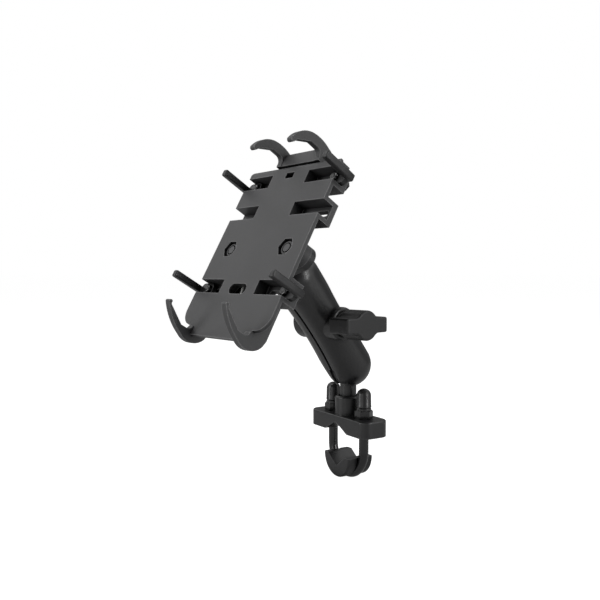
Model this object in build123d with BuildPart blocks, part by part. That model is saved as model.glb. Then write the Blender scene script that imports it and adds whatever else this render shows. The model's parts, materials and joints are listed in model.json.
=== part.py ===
"""Phone handlebar mount: bar clamp, double-socket arm and sprung phone cradle.

Frame: X across the phone, -Y towards the rider, +Z up. The origin is the middle of the
V groove, on the underside of the clamp base. All sizes are in millimetres, all angles
in degrees. Clamp pieces are drawn on the plane `clamp_floor`, which is turned about Z.
Cradle pieces are drawn on the plane `cradle`: x across, y up the cradle's face, z out of
the face towards the phone.
"""

from build123d import *

import os
from math import cos, hypot, radians, sin

# Fits
run_fit = 0.05              # radial clearance of a turning or sliding fit
hole_fit = 0.25             # radial clearance of a fastener's plain hole
slide_gap = 0.15            # between flat faces that slide past each other

# Ball joints
ball_d = 25.4
ball_skin = 1.4             # thickness of the rubber on a ball
post_d = 10.0
shank_d = 8.0
shank_len = 8.0
lower_ball_z = 40.7
seat_dish_d = 12.4          # shallow recess round a post
seat_dish_h = 1.2

# Clamp base
clamp_turn = -9.0           # of the clamp about the lower ball's post
base_end = 12.75            # from a leg's middle to the end of the base
base_wid = 19.4
base_h = 9.9
base_corner = 6.0
base_edge = 1.0
boss_d = 16.2
boss_h = 11.5
groove_wid = 22.4
groove_depth = 5.6
groove_flat = 1.6           # flat at the bottom of a V groove

# U-bolt, its nuts and caps
rod_d = 5.8
rod_gap = 25.7              # clear width between the legs
bend_z = -10.3              # centre of the bend
leg_top_z = 17.0
lock_nut_af = 9.53
lock_nut_h = 6.5
collar_h = 1.6              # round top of a lock nut
cap_d = 9.0
cap_h = 11.2
cap_wall = 1.2              # over the rod's end
cap_round = 3.4

# Clamp saddle
saddle_top_z = -14.5
saddle_half = 13.0          # half width of the flanges at the top
saddle_h = 13.4
saddle_len = 18.0
saddle_edge = 1.2
seat_wid = 17.0
seat_depth = 6.0

# Arm
arm_len = 67.7              # from ball centre to ball centre
arm_tilt = 38.8             # from the vertical, towards the rider
socket_r = 13.6
waist_half = 11.4
arm_half_h = 14.0           # from the middle plane to the outer face
arm_girth_r = 13.9          # of the round bar that the arm is turned down to
parting = 1.0               # from the middle plane to a half's flat face
arm_round = 10.8
arm_boss_r = 9.7            # round the clamp bolt
arm_boss_round = 1.8
knob_boss_h = 18.0
bolt_boss_h = 16.8
bolt_head_sink = 0.4
post_slot_angle = 75.0      # half angle that a post can swing through
post_slot_half = 5.4
lip_relief = 2.3
core_len = 34.0             # lightening pocket inside each half
core_wid = 11.0
core_depth = 8.5
core_wall = 1.6             # round the spring's pocket

# Clamp bolt, spring and knob
bolt_d = 6.35
bolt_head_af = 11.1
bolt_head_h = 4.0
bolt_end_x = 33.0
spring_d = 10.0
spring_wire = 1.2
spring_half_len = 9.0
spring_turns = 6
washer_d = 14.0
washer_h = 1.2
knob_len = 32.0
knob_wing_h = 8.8
knob_hub_r = 8.5
knob_wing_x = 22.0
knob_end_x = 36.5
knob_neck_r = 7.4
knob_blend = 5.0
knob_edge = 1.2
insert_len = 9.0

# Cradle face
cradle_tilt = 30.0          # lean of the face from the vertical
ball_standoff = 33.0        # from the upper ball's centre to the face
face_half = 38.3
face_top = 55.6
face_bottom = -54.4
ear_bottom = -48.6
ear_corner = 9.0
top_corner = 4.0
top_round = 3.8
plate_t = 2.4
cradle_depth = 10.8

# Side channels: centre heights of the three rows
row_upper = 45.1
row_middle = 24.2
row_lower = -24.1
channel_wid = 8.5
channel_depth = 7.5
channel_wall = 2.5
channel_start = 15.56       # from the middle to a channel's blind end
slot_start = 20.0
slot_margin = 3.0           # from a slot's end to the side of the face
arm_screw_d = 3.0

# Carriage tunnel and its cover
tunnel_half = 12.3
tunnel_front = 4.6          # depth of the tunnel's front wall below the face
tunnel_back = 7.6
tunnel_bottom = -41.0
cover_t = 2.2
cover_screw_d = 2.0
cover_screw_head_d = 3.2
cover_screw_head_h = 1.3
cover_screw_len = 6.0
cover_screw_inset = 5.0

# Ball adapter on the cradle's back
screw_spacing = 48.56
adapter_t = 4.0
adapter_half = 33.4
adapter_tip_r = 7.2
adapter_mid_r = 16.6
adapter_boss_r = 8.3
adapter_boss_h = 3.6
adapter_edge = 0.8
adapter_screw_d = 4.83
adapter_head_d = 9.0
adapter_head_h = 2.6
adapter_nut_h = 5.2
nut_pocket_depth = 6.2

# Bottom hooks
ear_wid = 10.3              # from a hook to the side of the face
hook_t = 4.0
hook_rib_len = 23.4         # up from the face's bottom edge

# Top carriage
carriage_half = 16.8
carriage_gap = 0.8          # between the cradle's top and the carriage
carriage_front = 1.2        # of the carriage below the face
carriage_h = 8.8
carriage_depth = 8.0
carriage_edge = 1.4
top_hook_inner = 14.3
top_hook_outer = 18.2
tongue_half = 12.0
tongue_t = 2.4
tongue_bottom = -10.0
pull_spring_d = 2.6
pull_spring_wire = 0.6
pull_spring_x = 3.6
pull_spring_turns = 14
spring_post_d = 1.8
spring_post_y = -37.0
spring_loop_r = 1.3

# Windows in the face
slot_window_len = 14.6
slot_window_wid = 6.2
slot_window_y = -25.4
peep_wid = 6.8
peep_h = 3.8
peep_y = 47.7

# Side arms
finger_clear = 3.7          # from the side of the face to a finger
finger_t = 3.4
finger_wid = 3.8
finger_tip = 14.7
finger_core_d = 2.2
sleeve_corner = 0.9
sleeve_end = 1.0
foot_heel = 3.8             # from a foot's screw to its blind end
foot_toe = 0.2              # from a foot's other end to the finger
foot_corner = 2.6
foot_t = 3.0
finger_reach = 8.0          # from a foot's screw to the finger
arm_screw_head_d = 5.4
arm_screw_head_h = 1.8
arm_nut_af = 5.5
arm_nut_h = 2.4

# Derived places
rod_r = rod_d / 2
leg_x = (rod_gap + rod_d) / 2
ball_r = ball_d / 2
post_r = post_d / 2
boss_top_z = base_h + boss_h
bar_dir = Vector(-sin(radians(clamp_turn)), cos(radians(clamp_turn)), 0)
legs_dir = Vector(cos(radians(clamp_turn)), sin(radians(clamp_turn)), 0)
clamp_floor = Plane(origin=(0, 0, 0), x_dir=legs_dir, z_dir=(0, 0, 1))
clamp_section = Plane(origin=(0, 0, 0), x_dir=legs_dir, z_dir=-bar_dir)
lower_ball = Vector(0, 0, lower_ball_z)
arm_dir = Vector(0, -sin(radians(arm_tilt)), cos(radians(arm_tilt)))
arm_mid = lower_ball + arm_dir * (arm_len / 2)
upper_ball = lower_ball + arm_dir * arm_len
face_up = Vector(0, sin(radians(cradle_tilt)), cos(radians(cradle_tilt)))
face_out = Vector(0, -cos(radians(cradle_tilt)), sin(radians(cradle_tilt)))
cradle = Plane(origin=upper_ball + face_out * ball_standoff, x_dir=(1, 0, 0), z_dir=face_out)
bolt_head_x = bolt_boss_h - bolt_head_sink
carriage_bottom = face_top + carriage_gap
carriage_top = carriage_bottom + carriage_h
screw_x = screw_spacing / 2
hook_outer = face_half - ear_wid
hook_inner = hook_outer - hook_t
slot_end = face_half - slot_margin
finger_inner = face_half + finger_clear
finger_mid = finger_inner + finger_t / 2
arm_screw_x = finger_inner - finger_reach
foot_start = arm_screw_x - foot_heel
foot_end = finger_inner - foot_toe

os.makedirs("parts", exist_ok=True)


def save(part, name):
    """Label a finished piece and write it as parts/NAME.step."""
    part.label = name
    export_step(part, f"parts/{name}.step")


def side_plane(x, up, out):
    """Plane across the cradle: its own x runs up the face, its y runs out of it."""
    return Plane(origin=cradle.from_local_coords((x, up, out)), x_dir=face_up, z_dir=(1, 0, 0))


def hex_radius(across_flats):
    """Corner radius of a hexagon."""
    return across_flats / 2 / cos(radians(30))


# ---------------------------------------------------------------- bar clamp

with BuildPart() as clamp_base:
    with BuildSketch(clamp_floor):
        RectangleRounded(2 * (leg_x + base_end), base_wid, base_corner)
    extrude(amount=base_h)
    fillet(clamp_base.faces().sort_by(Axis.Z)[-1].edges(), base_edge)
    with BuildSketch(clamp_floor.offset(base_h)):
        Circle(boss_d / 2)
    extrude(amount=boss_h)
    chamfer(clamp_base.faces().sort_by(Axis.Z)[-1].edges(), base_edge)
    with BuildSketch(clamp_section):
        with BuildLine():
            Polyline(
                (-groove_wid / 2, 0),
                (-groove_flat / 2, groove_depth),
                (groove_flat / 2, groove_depth),
                (groove_wid / 2, 0),
                close=True,
            )
        make_face()
    extrude(amount=base_wid, both=True, mode=Mode.SUBTRACT)
    with BuildSketch(clamp_floor):
        with Locations((-leg_x, 0), (leg_x, 0)):
            Circle(rod_r + hole_fit)
    extrude(amount=base_h, mode=Mode.SUBTRACT)
    with Locations((0, 0, boss_top_z)):
        CounterBoreHole(
            shank_d / 2 + run_fit, seat_dish_d / 2, seat_dish_h, depth=seat_dish_h + shank_len + slide_gap
        )
save(clamp_base.part, "clamp_base")

with BuildPart() as u_bolt:
    with BuildSketch(clamp_floor.offset(bend_z)):
        with Locations((-leg_x, 0), (leg_x, 0)):
            Circle(rod_r)
    extrude(amount=leg_top_z - bend_z)
    chamfer(u_bolt.faces().group_by(Axis.Z)[-1].edges(), rod_d / 8)
    with BuildSketch(clamp_floor.offset(bend_z)):
        with Locations((leg_x, 0)):
            Circle(rod_r)
    revolve(axis=Axis((0, 0, bend_z), bar_dir), revolution_arc=180)
save(u_bolt.part, "u_bolt")

core_r = rod_gap / 2 - run_fit
groove_half = rod_r + slide_gap
flange_t = saddle_len / 2 - groove_half

with BuildPart() as clamp_saddle:
    with BuildSketch(clamp_section):
        with BuildLine():
            ThreePointArc(
                (-saddle_half, saddle_top_z), (0, saddle_top_z - saddle_h), (saddle_half, saddle_top_z)
            )
            Line((saddle_half, saddle_top_z), (-saddle_half, saddle_top_z))
        make_face()
    extrude(amount=saddle_len / 2, both=True)
    fillet(clamp_saddle.edges().filter_by(GeomType.CIRCLE), saddle_edge)
    with BuildSketch(clamp_section):
        with Locations((0, bend_z)):
            Rectangle(4 * leg_x, 4 * leg_x)
            Circle(core_r, mode=Mode.SUBTRACT)
            Rectangle(2 * core_r, saddle_half, align=(Align.CENTER, Align.MIN), mode=Mode.SUBTRACT)
    extrude(amount=groove_half, both=True, mode=Mode.SUBTRACT)
    with BuildSketch(clamp_section):
        with BuildLine():
            Polyline(
                (-seat_wid / 2, saddle_top_z),
                (-groove_flat / 2, saddle_top_z - seat_depth),
                (groove_flat / 2, saddle_top_z - seat_depth),
                (seat_wid / 2, saddle_top_z),
                close=True,
            )
        make_face()
    extrude(amount=saddle_len, both=True, mode=Mode.SUBTRACT)
save(clamp_saddle.part, "clamp_saddle")

for side_name, side in (("left", -1), ("right", 1)):
    with BuildPart() as lock_nut:
        with BuildSketch(clamp_floor.offset(base_h)):
            with Locations((side * leg_x, 0)):
                RegularPolygon(hex_radius(lock_nut_af), 6)
                Circle(rod_r + run_fit, mode=Mode.SUBTRACT)
        extrude(amount=lock_nut_h - collar_h)
        with BuildSketch(clamp_floor.offset(base_h + lock_nut_h - collar_h)):
            with Locations((side * leg_x, 0)):
                Circle(lock_nut_af / 2 - base_edge / 2)
                Circle(rod_r + run_fit, mode=Mode.SUBTRACT)
        extrude(amount=collar_h)
    save(lock_nut.part, f"{side_name}_lock_nut")

    with BuildPart() as thread_cap:
        with BuildSketch(clamp_floor.offset(base_h + lock_nut_h)):
            with Locations((side * leg_x, 0)):
                Circle(cap_d / 2)
        extrude(amount=cap_h)
        fillet(thread_cap.faces().sort_by(Axis.Z)[-1].edges(), cap_round)
        with BuildSketch(clamp_floor.offset(base_h + lock_nut_h)):
            with Locations((side * leg_x, 0)):
                Circle(rod_r + run_fit)
        extrude(amount=cap_h - cap_wall, mode=Mode.SUBTRACT)
    save(thread_cap.part, f"{side_name}_thread_cap")


# ---------------------------------------------------------------- ball joints

def ball_stud(seat, ball_height, shank_end, name):
    """Post with a ball core. The seat's z runs from the boss's face to the ball."""
    core = ball_r - ball_skin
    start = -shank_end
    neck_z = ball_height - (core**2 - post_r**2) ** 0.5
    with BuildPart() as stud:
        with BuildSketch(Plane(seat.origin, x_dir=seat.x_dir, z_dir=-seat.y_dir)):
            with BuildLine():
                Polyline(
                    (0, start),
                    (shank_d / 2, start),
                    (shank_d / 2, -seat_dish_h + slide_gap),
                    (post_r, -seat_dish_h + slide_gap),
                    (post_r, neck_z),
                )
                ThreePointArc((post_r, neck_z), (core, ball_height), (0, ball_height + core))
                Line((0, ball_height + core), (0, start))
            make_face()
        revolve(axis=Axis(seat.origin, seat.z_dir))
    save(stud.part, f"{name}_ball_stud")

    with BuildPart() as cover:
        with Locations(seat.origin + seat.z_dir * ball_height):
            Sphere(ball_r)
            Sphere(core + run_fit, mode=Mode.SUBTRACT)
        with BuildSketch(seat):
            Circle(post_r + slide_gap)
        extrude(amount=ball_height, mode=Mode.SUBTRACT)
    save(cover.part, f"{name}_ball_cover")


base_seat = Plane(origin=(0, 0, boss_top_z), x_dir=(1, 0, 0), z_dir=(0, 0, 1))
adapter_back = cradle_depth + adapter_t + adapter_boss_h
adapter_seat = Plane(origin=cradle.offset(-adapter_back).origin, x_dir=(1, 0, 0), z_dir=-face_out)
ball_stud(base_seat, lower_ball_z - boss_top_z, seat_dish_h + shank_len, "lower")
ball_stud(adapter_seat, ball_standoff - adapter_back, adapter_t + adapter_boss_h, "upper")


# ---------------------------------------------------------------- arm

half_len = arm_len / 2
waist_arc_r = (half_len**2 + waist_half**2 - socket_r**2) / (2 * (socket_r - waist_half))
blend = socket_r / (waist_arc_r + socket_r)
blend_x = half_len * (1 - blend)
blend_y = (waist_half + waist_arc_r) * blend
girth_end = half_len + arm_girth_r
girth_rise = arm_girth_r * sin(radians(45))
girth_mid = half_len + girth_rise


def arm_half(side, boss_h):
    """One shell of the arm, drawn on a plane whose z points to its outer face."""
    middle = Plane(origin=arm_mid, x_dir=arm_dir, z_dir=(side, 0, 0))
    with BuildPart() as half:
        with BuildSketch(middle.offset(parting)):
            with BuildLine():
                ThreePointArc((-blend_x, blend_y), (0, waist_half), (blend_x, blend_y))
                ThreePointArc((blend_x, blend_y), (half_len + socket_r, 0), (blend_x, -blend_y))
                ThreePointArc((blend_x, -blend_y), (0, -waist_half), (-blend_x, -blend_y))
                ThreePointArc((-blend_x, -blend_y), (-half_len - socket_r, 0), (-blend_x, blend_y))
            make_face()
        extrude(amount=arm_half_h - parting)
        outer_face = half.faces().sort_by(Axis(arm_mid, (side, 0, 0)))[-1]
        fillet(outer_face.edges(), arm_round)
        with BuildSketch(middle):
            with BuildLine():
                Line((-girth_end, 0), (girth_end, 0))
                ThreePointArc((girth_end, 0), (girth_mid, girth_rise), (half_len, arm_girth_r))
                Line((half_len, arm_girth_r), (-half_len, arm_girth_r))
                ThreePointArc((-half_len, arm_girth_r), (-girth_mid, girth_rise), (-girth_end, 0))
            make_face()
        revolve(axis=Axis(arm_mid, arm_dir), mode=Mode.INTERSECT)
        with BuildSketch(middle.offset(parting)):
            Circle(arm_boss_r)
        extrude(amount=boss_h - parting)
        fillet(half.faces().sort_by(Axis(arm_mid, (side, 0, 0)))[-1].edges(), arm_boss_round)
        # Lightening pocket round the spring's sleeve
        with BuildSketch(middle):
            SlotOverall(core_len, core_wid)
            Circle(spring_d / 2 + hole_fit + core_wall, mode=Mode.SUBTRACT)
        extrude(amount=core_depth, mode=Mode.SUBTRACT)
        with BuildSketch(middle):
            Circle(spring_d / 2 + hole_fit)
        extrude(amount=spring_half_len + slide_gap, mode=Mode.SUBTRACT)
        with BuildSketch(middle):
            Circle(bolt_d / 2 + hole_fit)
        extrude(amount=2 * arm_half_h, mode=Mode.SUBTRACT)
        # Sockets, with slots for the posts and a relieved lip
        with Locations(lower_ball, upper_ball):
            Sphere(ball_r + run_fit, rotation=(0, 0, 90 + 90 * side), mode=Mode.SUBTRACT)
        reach = 2 * socket_r
        slot_x = reach * cos(radians(post_slot_angle))
        slot_y = reach * sin(radians(post_slot_angle))
        for end in (-1, 1):
            with BuildSketch(middle):
                with BuildLine():
                    Polyline(
                        (end * half_len, 0),
                        (end * (half_len + slot_x), slot_y),
                        (end * (half_len + reach), slot_y),
                        (end * (half_len + reach), -slot_y),
                        (end * (half_len + slot_x), -slot_y),
                        close=True,
                    )
                make_face()
            extrude(amount=post_slot_half, mode=Mode.SUBTRACT)
            with BuildSketch(middle):
                with Locations((end * (half_len + socket_r / 2), 0)):
                    Rectangle(2 * socket_r, 3 * socket_r)
            extrude(amount=lip_relief, mode=Mode.SUBTRACT)
        if side < 0:
            with BuildSketch(middle.offset(bolt_head_x - bolt_head_h)):
                RegularPolygon(hex_radius(bolt_head_af) + hole_fit, 6)
            extrude(amount=boss_h, mode=Mode.SUBTRACT)
    return half.part


save(arm_half(-1, bolt_boss_h), "arm_half_bolt_side")
save(arm_half(1, knob_boss_h), "arm_half_knob_side")

bolt_axis = Plane(origin=arm_mid, x_dir=(0, 1, 0), z_dir=(1, 0, 0))

with BuildPart() as clamp_bolt:
    with BuildSketch(Plane(origin=bolt_axis.origin, x_dir=arm_dir, z_dir=(1, 0, 0)).offset(-bolt_head_x)):
        RegularPolygon(hex_radius(bolt_head_af), 6)
    extrude(amount=bolt_head_h)
    with BuildSketch(bolt_axis.offset(-bolt_head_x)):
        Circle(bolt_d / 2)
    extrude(amount=bolt_head_x + bolt_end_x)
    chamfer(clamp_bolt.faces().sort_by(Axis.X)[-1].edges(), bolt_d / 10)
save(clamp_bolt.part, "clamp_bolt")

spring_axis_start = bolt_axis.offset(-spring_half_len + spring_wire / 2)
with BuildPart() as clamp_spring:
    with BuildLine():
        coil = Helix(
            pitch=(2 * spring_half_len - spring_wire) / spring_turns,
            height=2 * spring_half_len - spring_wire,
            radius=(spring_d - spring_wire) / 2,
            center=spring_axis_start.origin,
            direction=(1, 0, 0),
        )
    with BuildSketch(Plane(origin=coil @ 0, z_dir=coil % 0)):
        Circle(spring_wire / 2)
    sweep(path=coil, is_frenet=True)
save(clamp_spring.part, "clamp_spring")

with BuildPart() as knob_washer:
    with BuildSketch(bolt_axis.offset(knob_boss_h)):
        Circle(washer_d / 2)
        Circle(bolt_d / 2 + hole_fit, mode=Mode.SUBTRACT)
    extrude(amount=washer_h)
save(knob_washer.part, "knob_washer")

knob_start_x = knob_boss_h + washer_h + slide_gap
with BuildPart() as wing_knob:
    with BuildSketch(bolt_axis.offset(knob_wing_x)) as wing_outline:
        Circle(knob_hub_r)
        Rectangle(knob_len, knob_wing_h)
        inner_corners = wing_outline.vertices().filter_by(
            lambda v: abs(hypot(v.X, v.Y) - knob_hub_r) < run_fit
        )
        fillet(inner_corners, knob_blend)
    extrude(amount=knob_end_x - knob_wing_x)
    fillet(wing_knob.edges().filter_by(Axis.X).group_by(Axis.Y)[0], knob_edge)
    fillet(wing_knob.edges().filter_by(Axis.X).group_by(Axis.Y)[-1], knob_edge)
    fillet(wing_knob.faces().sort_by(Axis.X)[-1].edges(), knob_edge)
    with BuildSketch(bolt_axis.offset(knob_start_x)):
        Circle(knob_neck_r)
    extrude(amount=knob_wing_x - knob_start_x)
    with BuildSketch(bolt_axis.offset(knob_start_x)):
        RegularPolygon(hex_radius(bolt_head_af) + run_fit, 6)
    extrude(amount=insert_len, mode=Mode.SUBTRACT)
    with BuildSketch(bolt_axis.offset(knob_start_x)):
        Circle(bolt_d / 2 + hole_fit)
    extrude(amount=bolt_end_x + slide_gap - knob_start_x, mode=Mode.SUBTRACT)
save(wing_knob.part, "wing_knob")

with BuildPart() as knob_insert:
    with BuildSketch(bolt_axis.offset(knob_start_x)):
        RegularPolygon(hex_radius(bolt_head_af), 6)
        Circle(bolt_d / 2 + run_fit, mode=Mode.SUBTRACT)
    extrude(amount=insert_len - slide_gap)
save(knob_insert.part, "knob_insert")


# ---------------------------------------------------------------- cradle

def diamond_outline():
    """Sketch of the adapter: a middle disc drawn out to two rounded tips."""
    Circle(adapter_mid_r)
    with Locations((adapter_half - adapter_tip_r, 0), (adapter_tip_r - adapter_half, 0)):
        Circle(adapter_tip_r)
    make_hull()


row_list = (row_upper, row_middle, row_lower)
channel_half = channel_wid / 2
channel_len = face_half - channel_start
inner_wall = channel_start - tunnel_half

with BuildPart() as cradle_tray:
    # Face plate: ears outside the hooks end higher than the middle
    with BuildSketch(cradle) as face_outline:
        with BuildLine():
            Polyline(
                (-face_half, face_top),
                (-face_half, ear_bottom),
                (-hook_outer, ear_bottom),
                (-hook_outer, face_bottom),
                (hook_outer, face_bottom),
                (hook_outer, ear_bottom),
                (face_half, ear_bottom),
                (face_half, face_top),
                close=True,
            )
        make_face()
        for end in (0, -1):
            fillet(face_outline.vertices().group_by(Axis.X)[end].sort_by(Axis.Y)[0], ear_corner)
            fillet(face_outline.vertices().group_by(Axis.X)[end].sort_by(Axis.Y)[-1], top_corner)
    extrude(amount=-plate_t)
    # Channel boxes, the thick top rim and the carriage's box
    with BuildSketch(cradle):
        for row in row_list:
            with Locations((0, row)):
                Rectangle(2 * face_half, channel_wid + 2 * channel_wall)
        with Locations((0, face_top)):
            Rectangle(
                2 * (face_half - top_corner),
                face_top - row_upper,
                align=(Align.CENTER, Align.MAX),
            )
    extrude(amount=-cradle_depth, both=False)
    # Round the face over into the top rim
    with BuildSketch(side_plane(-face_half, face_top, 0)):
        with Locations((-top_round, -top_round)):
            Rectangle(2 * top_round, 2 * top_round, align=Align.MIN)
            Circle(top_round, mode=Mode.SUBTRACT)
    extrude(amount=2 * face_half, mode=Mode.SUBTRACT)
    with BuildSketch(cradle):
        with Locations((0, tunnel_bottom - inner_wall)):
            Rectangle(
                2 * channel_start,
                row_upper - tunnel_bottom + inner_wall,
                align=(Align.CENTER, Align.MIN),
            )
    extrude(amount=-tunnel_back)
    with BuildSketch(cradle.offset(-cradle_depth)):
        diamond_outline()
    extrude(amount=cradle_depth - plate_t)
    # Room for the cover and the carriage's tongue
    with BuildSketch(cradle.offset(-tunnel_back)):
        with Locations((0, tunnel_bottom - inner_wall)):
            Rectangle(
                2 * channel_start,
                face_top - tunnel_bottom + 2 * inner_wall,
                align=(Align.CENTER, Align.MIN),
            )
    extrude(amount=-cradle_depth, mode=Mode.SUBTRACT)
    with BuildSketch(cradle.offset(-tunnel_front)):
        with Locations((0, tunnel_bottom)):
            Rectangle(
                2 * tunnel_half,
                face_top - tunnel_bottom + cradle_depth,
                align=(Align.CENTER, Align.MIN),
            )
    extrude(amount=-cradle_depth, mode=Mode.SUBTRACT)
    # Channels, open at the sides, with a slotted floor
    for side in (-1, 1):
        for row in row_list:
            with BuildSketch(cradle.offset(-channel_depth)):
                with Locations((side * (channel_start + channel_len), row)):
                    Rectangle(2 * channel_len, channel_wid)
            extrude(amount=2 * channel_depth, mode=Mode.SUBTRACT)
            with BuildSketch(cradle.offset(-cradle_depth - slide_gap)):
                with Locations((side * (slot_start + slot_end) / 2, row)):
                    SlotCenterToCenter(slot_end - slot_start, arm_screw_d + 2 * hole_fit)
            extrude(amount=cradle_depth, mode=Mode.SUBTRACT)
    # Lock nut pockets and screw holes
    with BuildSketch(cradle):
        with Locations((-screw_x, 0), (screw_x, 0)):
            RegularPolygon(hex_radius(lock_nut_af) + run_fit, 6)
    extrude(amount=-nut_pocket_depth, mode=Mode.SUBTRACT)
    with BuildSketch(cradle):
        with Locations((-screw_x, 0), (screw_x, 0)):
            Circle(adapter_screw_d / 2 + run_fit)
    extrude(amount=-2 * cradle_depth, mode=Mode.SUBTRACT)
    # Windows over the carriage
    with BuildSketch(cradle):
        with Locations((0, slot_window_y)):
            SlotOverall(slot_window_len, slot_window_wid)
        with Locations((0, peep_y)):
            Rectangle(peep_wid, peep_h)
    extrude(amount=-tunnel_front - run_fit, mode=Mode.SUBTRACT)
    # Posts that hold the springs
    with BuildSketch(cradle.offset(-tunnel_front)):
        with Locations((-pull_spring_x, spring_post_y), (pull_spring_x, spring_post_y)):
            Circle(spring_post_d / 2)
    extrude(amount=-(tunnel_back - tunnel_front - slide_gap))
    # Bottom hooks: a fin through the face that curves out under the phone
    for start in (-hook_outer, hook_inner):
        with BuildSketch(side_plane(start, face_bottom, 0)):
            with BuildLine():
                Line((hook_rib_len, -plate_t / 2), (5.2, -plate_t / 2))
                Polyline((5.2, -plate_t / 2), (5.0, 0.5), (3.0, 1.2), (2.2, 3.0), (2.2, 7.5))
                Line((2.2, 7.5), (8.8, 17.8))
                ThreePointArc((8.8, 17.8), (9.6, 18.4), (10.4, 18.3))
                ThreePointArc((10.4, 18.3), (11.2, 19.5), (9.8, 20.3))
                ThreePointArc((9.8, 20.3), (2.9, 14.0), (-2.5, 5.2))
                ThreePointArc((-2.5, 5.2), (-3.9, -2.6), (1.2, -9.6))
                Line((1.2, -9.6), (4.8, -cradle_depth))
                Line((4.8, -cradle_depth), (hook_rib_len, -cradle_depth))
                Line((hook_rib_len, -cradle_depth), (hook_rib_len, -plate_t / 2))
            make_face()
        extrude(amount=hook_outer - hook_inner)
    # Pilot holes for the cover's screws
    with BuildSketch(cradle.offset(-tunnel_back)):
        for y in (tunnel_bottom + cover_screw_inset, face_top - cover_screw_inset):
            for x in (-1, 1):
                with Locations((x * (tunnel_half + inner_wall / 2), y)):
                    Circle(cover_screw_d / 2)
    extrude(amount=cover_screw_len, mode=Mode.SUBTRACT)
save(cradle_tray.part, "cradle_tray")

cover_back = tunnel_back + run_fit + cover_t
with BuildPart() as cradle_back_cover:
    with BuildSketch(cradle.offset(-cover_back)):
        with Locations((0, (face_top + tunnel_bottom - inner_wall) / 2)):
            RectangleRounded(
                2 * (channel_start - slide_gap),
                face_top - tunnel_bottom + inner_wall - slide_gap,
                base_edge,
            )
        for y in (tunnel_bottom + cover_screw_inset, face_top - cover_screw_inset):
            for x in (-1, 1):
                with Locations((x * (tunnel_half + inner_wall / 2), y)):
                    Circle(cover_screw_d / 2 + run_fit, mode=Mode.SUBTRACT)
    extrude(amount=cover_t)
save(cradle_back_cover.part, "cradle_back_cover")

with BuildPart() as cover_screws:
    for y in (tunnel_bottom + cover_screw_inset, face_top - cover_screw_inset):
        for x in (-1, 1):
            with BuildSketch(cradle.offset(-cover_back)):
                with Locations((x * (tunnel_half + inner_wall / 2), y)):
                    Circle(cover_screw_d / 2 - run_fit)
            extrude(amount=cover_t + cover_screw_len - slide_gap)
            with BuildSketch(cradle.offset(-cover_back)):
                with Locations((x * (tunnel_half + inner_wall / 2), y)):
                    Circle(cover_screw_head_d / 2)
            extrude(amount=-cover_screw_head_h)
save(cover_screws.part, "cover_screws")

with BuildPart() as ball_adapter:
    with BuildSketch(cradle.offset(-cradle_depth)):
        diamond_outline()
    extrude(amount=-adapter_t)
    back_edges = ball_adapter.faces().sort_by(Axis(cradle.origin, face_out))[0].edges()
    fillet(back_edges, adapter_edge)
    with BuildSketch(cradle.offset(-cradle_depth - adapter_t)):
        Circle(adapter_boss_r)
    extrude(amount=-adapter_boss_h)
    with BuildSketch(cradle):
        Circle(shank_d / 2 + run_fit)
        with Locations((-screw_x, 0), (screw_x, 0)):
            Circle(adapter_screw_d / 2 + run_fit)
    extrude(amount=-2 * adapter_back, mode=Mode.SUBTRACT)
    with BuildSketch(adapter_seat):
        Circle(seat_dish_d / 2)
    extrude(amount=-seat_dish_h, mode=Mode.SUBTRACT)
save(ball_adapter.part, "ball_adapter")

nut_floor = cradle.offset(-nut_pocket_depth)
with BuildPart() as adapter_screws:
    with BuildSketch(cradle.offset(-cradle_depth - adapter_t)):
        with Locations((-screw_x, 0), (screw_x, 0)):
            Circle(adapter_screw_d / 2)
    extrude(amount=cradle_depth + adapter_t - base_edge)
    with BuildSketch(cradle.offset(-cradle_depth - adapter_t)):
        with Locations((-screw_x, 0), (screw_x, 0)):
            Circle(adapter_head_d / 2)
    extrude(amount=-adapter_head_h)
    fillet(
        adapter_screws.faces().group_by(Axis(cradle.origin, face_out))[0].edges(), adapter_head_h / 2
    )
save(adapter_screws.part, "adapter_screws")

with BuildPart() as adapter_lock_nuts:
    with BuildSketch(nut_floor):
        with Locations((-screw_x, 0), (screw_x, 0)):
            RegularPolygon(hex_radius(lock_nut_af), 6)
            Circle(adapter_screw_d / 2 + run_fit, mode=Mode.SUBTRACT)
    extrude(amount=adapter_nut_h - collar_h)
    with BuildSketch(nut_floor.offset(adapter_nut_h - collar_h)):
        with Locations((-screw_x, 0), (screw_x, 0)):
            Circle(lock_nut_af / 2 - base_edge)
            Circle(adapter_screw_d / 2 + run_fit, mode=Mode.SUBTRACT)
    extrude(amount=collar_h)
save(adapter_lock_nuts.part, "adapter_lock_nuts")


# ---------------------------------------------------------------- top carriage

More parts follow.
